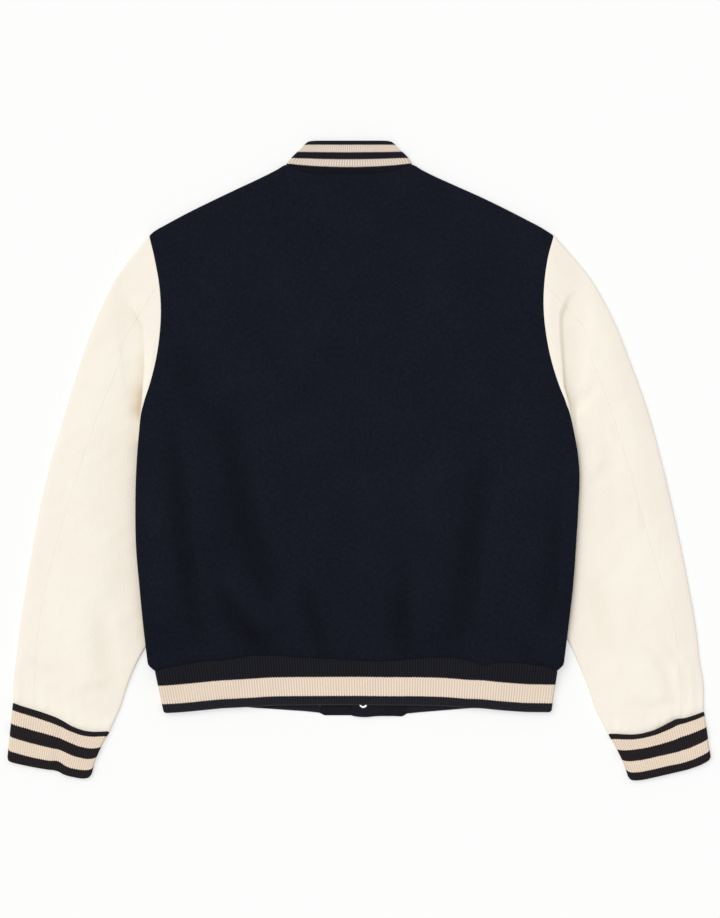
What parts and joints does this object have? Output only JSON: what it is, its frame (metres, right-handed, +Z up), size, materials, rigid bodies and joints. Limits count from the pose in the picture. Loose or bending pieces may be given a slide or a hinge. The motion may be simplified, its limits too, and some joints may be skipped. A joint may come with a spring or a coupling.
{
  "type": "varsity jacket",
  "caption": "Varsity jacket laid flat on its front: wool body, cream set-in sleeves, striped rib collar, cuffs and hem, closed with snaps.",
  "frame": {"origin": "centre of the jacket's outline, on the surface that it lies on", "axes": "+Z up from the surface, out of the jacket's back; +Y towards the collar; +X towards the wearer's right sleeve"},
  "size_m": [0.88, 0.7991, 0.014],
  "materials": {
    "melton": "matte brushed wool melton, near-black navy",
    "sleeve_leather": "soft matte cream leather",
    "rib_knit": "fine rib knit, near-black with cream stripes",
    "snap_steel": "bright nickel-plated snap parts"
  },
  "bodies": {
    "root": {"back_panel": "melton", "left_front": "melton", "right_front": "melton", "left_hem_tab": "melton", "right_hem_tab": "melton", "left_topsleeve": "sleeve_leather", "left_undersleeve": "sleeve_leather", "right_topsleeve": "sleeve_leather", "right_undersleeve": "sleeve_leather", "collar": "rib_knit", "hem_rib": "rib_knit", "left_cuff": "rib_knit", "right_cuff": "rib_knit", "snap_socket_1": "snap_steel", "snap_socket_2": "snap_steel", "snap_socket_3": "snap_steel", "snap_socket_4": "snap_steel", "snap_socket_5": "snap_steel", "snap_socket_6": "snap_steel", "snap_stud_1": "snap_steel", "snap_stud_2": "snap_steel", "snap_stud_3": "snap_steel", "snap_stud_4": "snap_steel", "snap_stud_5": "snap_steel", "snap_stud_6": "snap_steel"}
  },
  "joints": []
}
